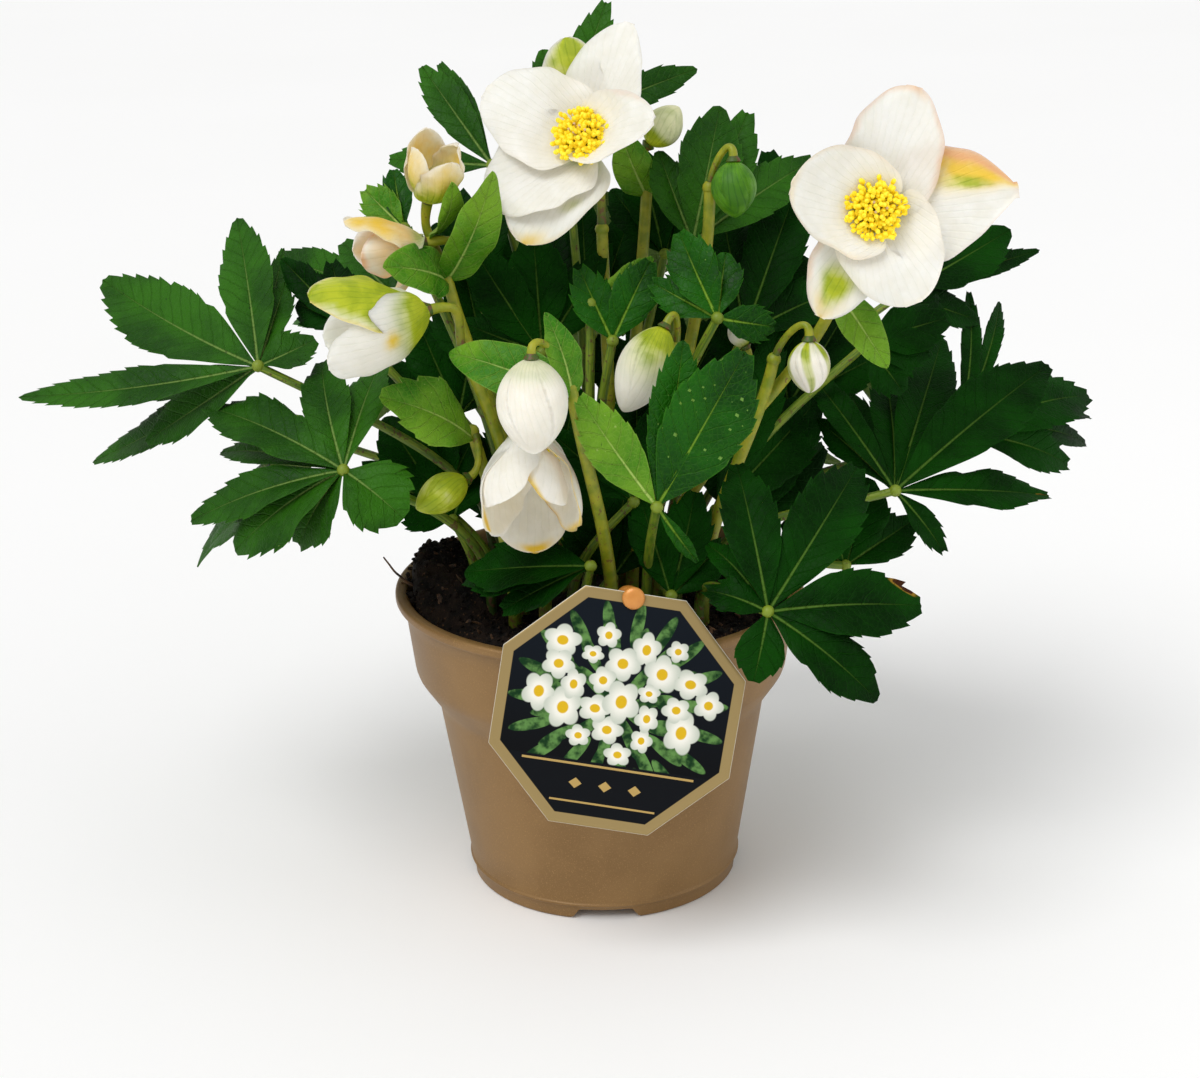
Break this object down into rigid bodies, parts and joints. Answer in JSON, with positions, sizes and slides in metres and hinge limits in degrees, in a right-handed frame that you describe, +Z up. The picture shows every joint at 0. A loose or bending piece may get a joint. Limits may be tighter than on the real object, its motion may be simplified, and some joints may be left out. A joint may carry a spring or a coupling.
{
  "type": "potted hellebore plant",
  "caption": "White-flowered hellebore with toothed leaves, open blooms and nodding buds, growing in a tapered nursery pot with a pegged plant label.",
  "frame": {"origin": "middle of the flat pad under the pot, on the surface that the pot stands on", "axes": "+Z up along the pot's axis; -Y towards the front, where the label stands; +X to the right seen from the front"},
  "size_m": [0.3508, 0.231, 0.2786],
  "materials": {
    "pot_plastic": "satin gold-brown injection-moulded plastic with a faint metallic sheen",
    "peat": "dark moist peat with bark crumbs",
    "label_card": "glossy printed card with a gold border",
    "pin_copper": "copper-coloured plastic",
    "leaf": "leathery dark green leaf, satin above, paler beneath",
    "leaf_young": "young bright green leaf with light veins",
    "stem": "smooth yellow-green stem with reddish speckles",
    "sepal": "soft white sepal with fine veins, lime and peach tints",
    "bud_green": "green hooded bud",
    "stamen": "powdery yellow anthers"
  },
  "bodies": {
    "root": {"pot": "pot_plastic", "soil": "peat", "label": "label_card", "label_pin": "pin_copper", "leaf_back_far_left": "leaf", "leaf_back_high": "leaf", "leaf_back_left": "leaf", "leaf_back_low": "leaf", "leaf_back_middle": "leaf", "leaf_back_right": "leaf", "leaf_behind_left": "leaf", "leaf_behind_right": "leaf", "leaf_centre_young": "leaf_young", "leaf_deep_left": "leaf", "leaf_deep_right": "leaf", "leaf_far_right": "leaf", "leaf_front_low": "leaf", "leaf_front_right": "leaf", "leaf_front_young": "leaf_young", "leaf_inner_young": "leaf_young", "leaf_left_inner": "leaf", "leaf_low_right": "leaf", "leaf_lower_left": "leaf", "leaf_middle": "leaf", "leaf_middle_low": "leaf", "leaf_middle_right": "leaf", "leaf_right_inner": "leaf", "leaf_top": "leaf", "leaf_top_left": "leaf", "leaf_top_right": "leaf", "leaf_upper_left": "leaf", "leaf_upper_right": "leaf", "scape_bell": "stem", "scape_double": "stem", "scape_egg": "stem", "scape_green": "stem", "scape_hidden": "stem", "scape_left": "stem", "scape_right": "stem", "scape_slim": "stem", "scape_small": "stem", "scape_striped": "stem", "scape_upper": "stem", "scape_yellow": "stem", "bloom_bell": "sepal", "bloom_left": "sepal", "bloom_pale": "sepal", "bloom_peach": "sepal", "bloom_right": "sepal", "bloom_upper": "sepal", "bud_egg": "sepal", "bud_green": "bud_green", "bud_hidden": "sepal", "bud_slim": "sepal", "bud_small": "sepal", "bud_striped": "sepal", "bud_yellow": "sepal", "stamens_bell": "stamen", "stamens_right": "stamen", "stamens_upper": "stamen"}
  },
  "joints": []
}
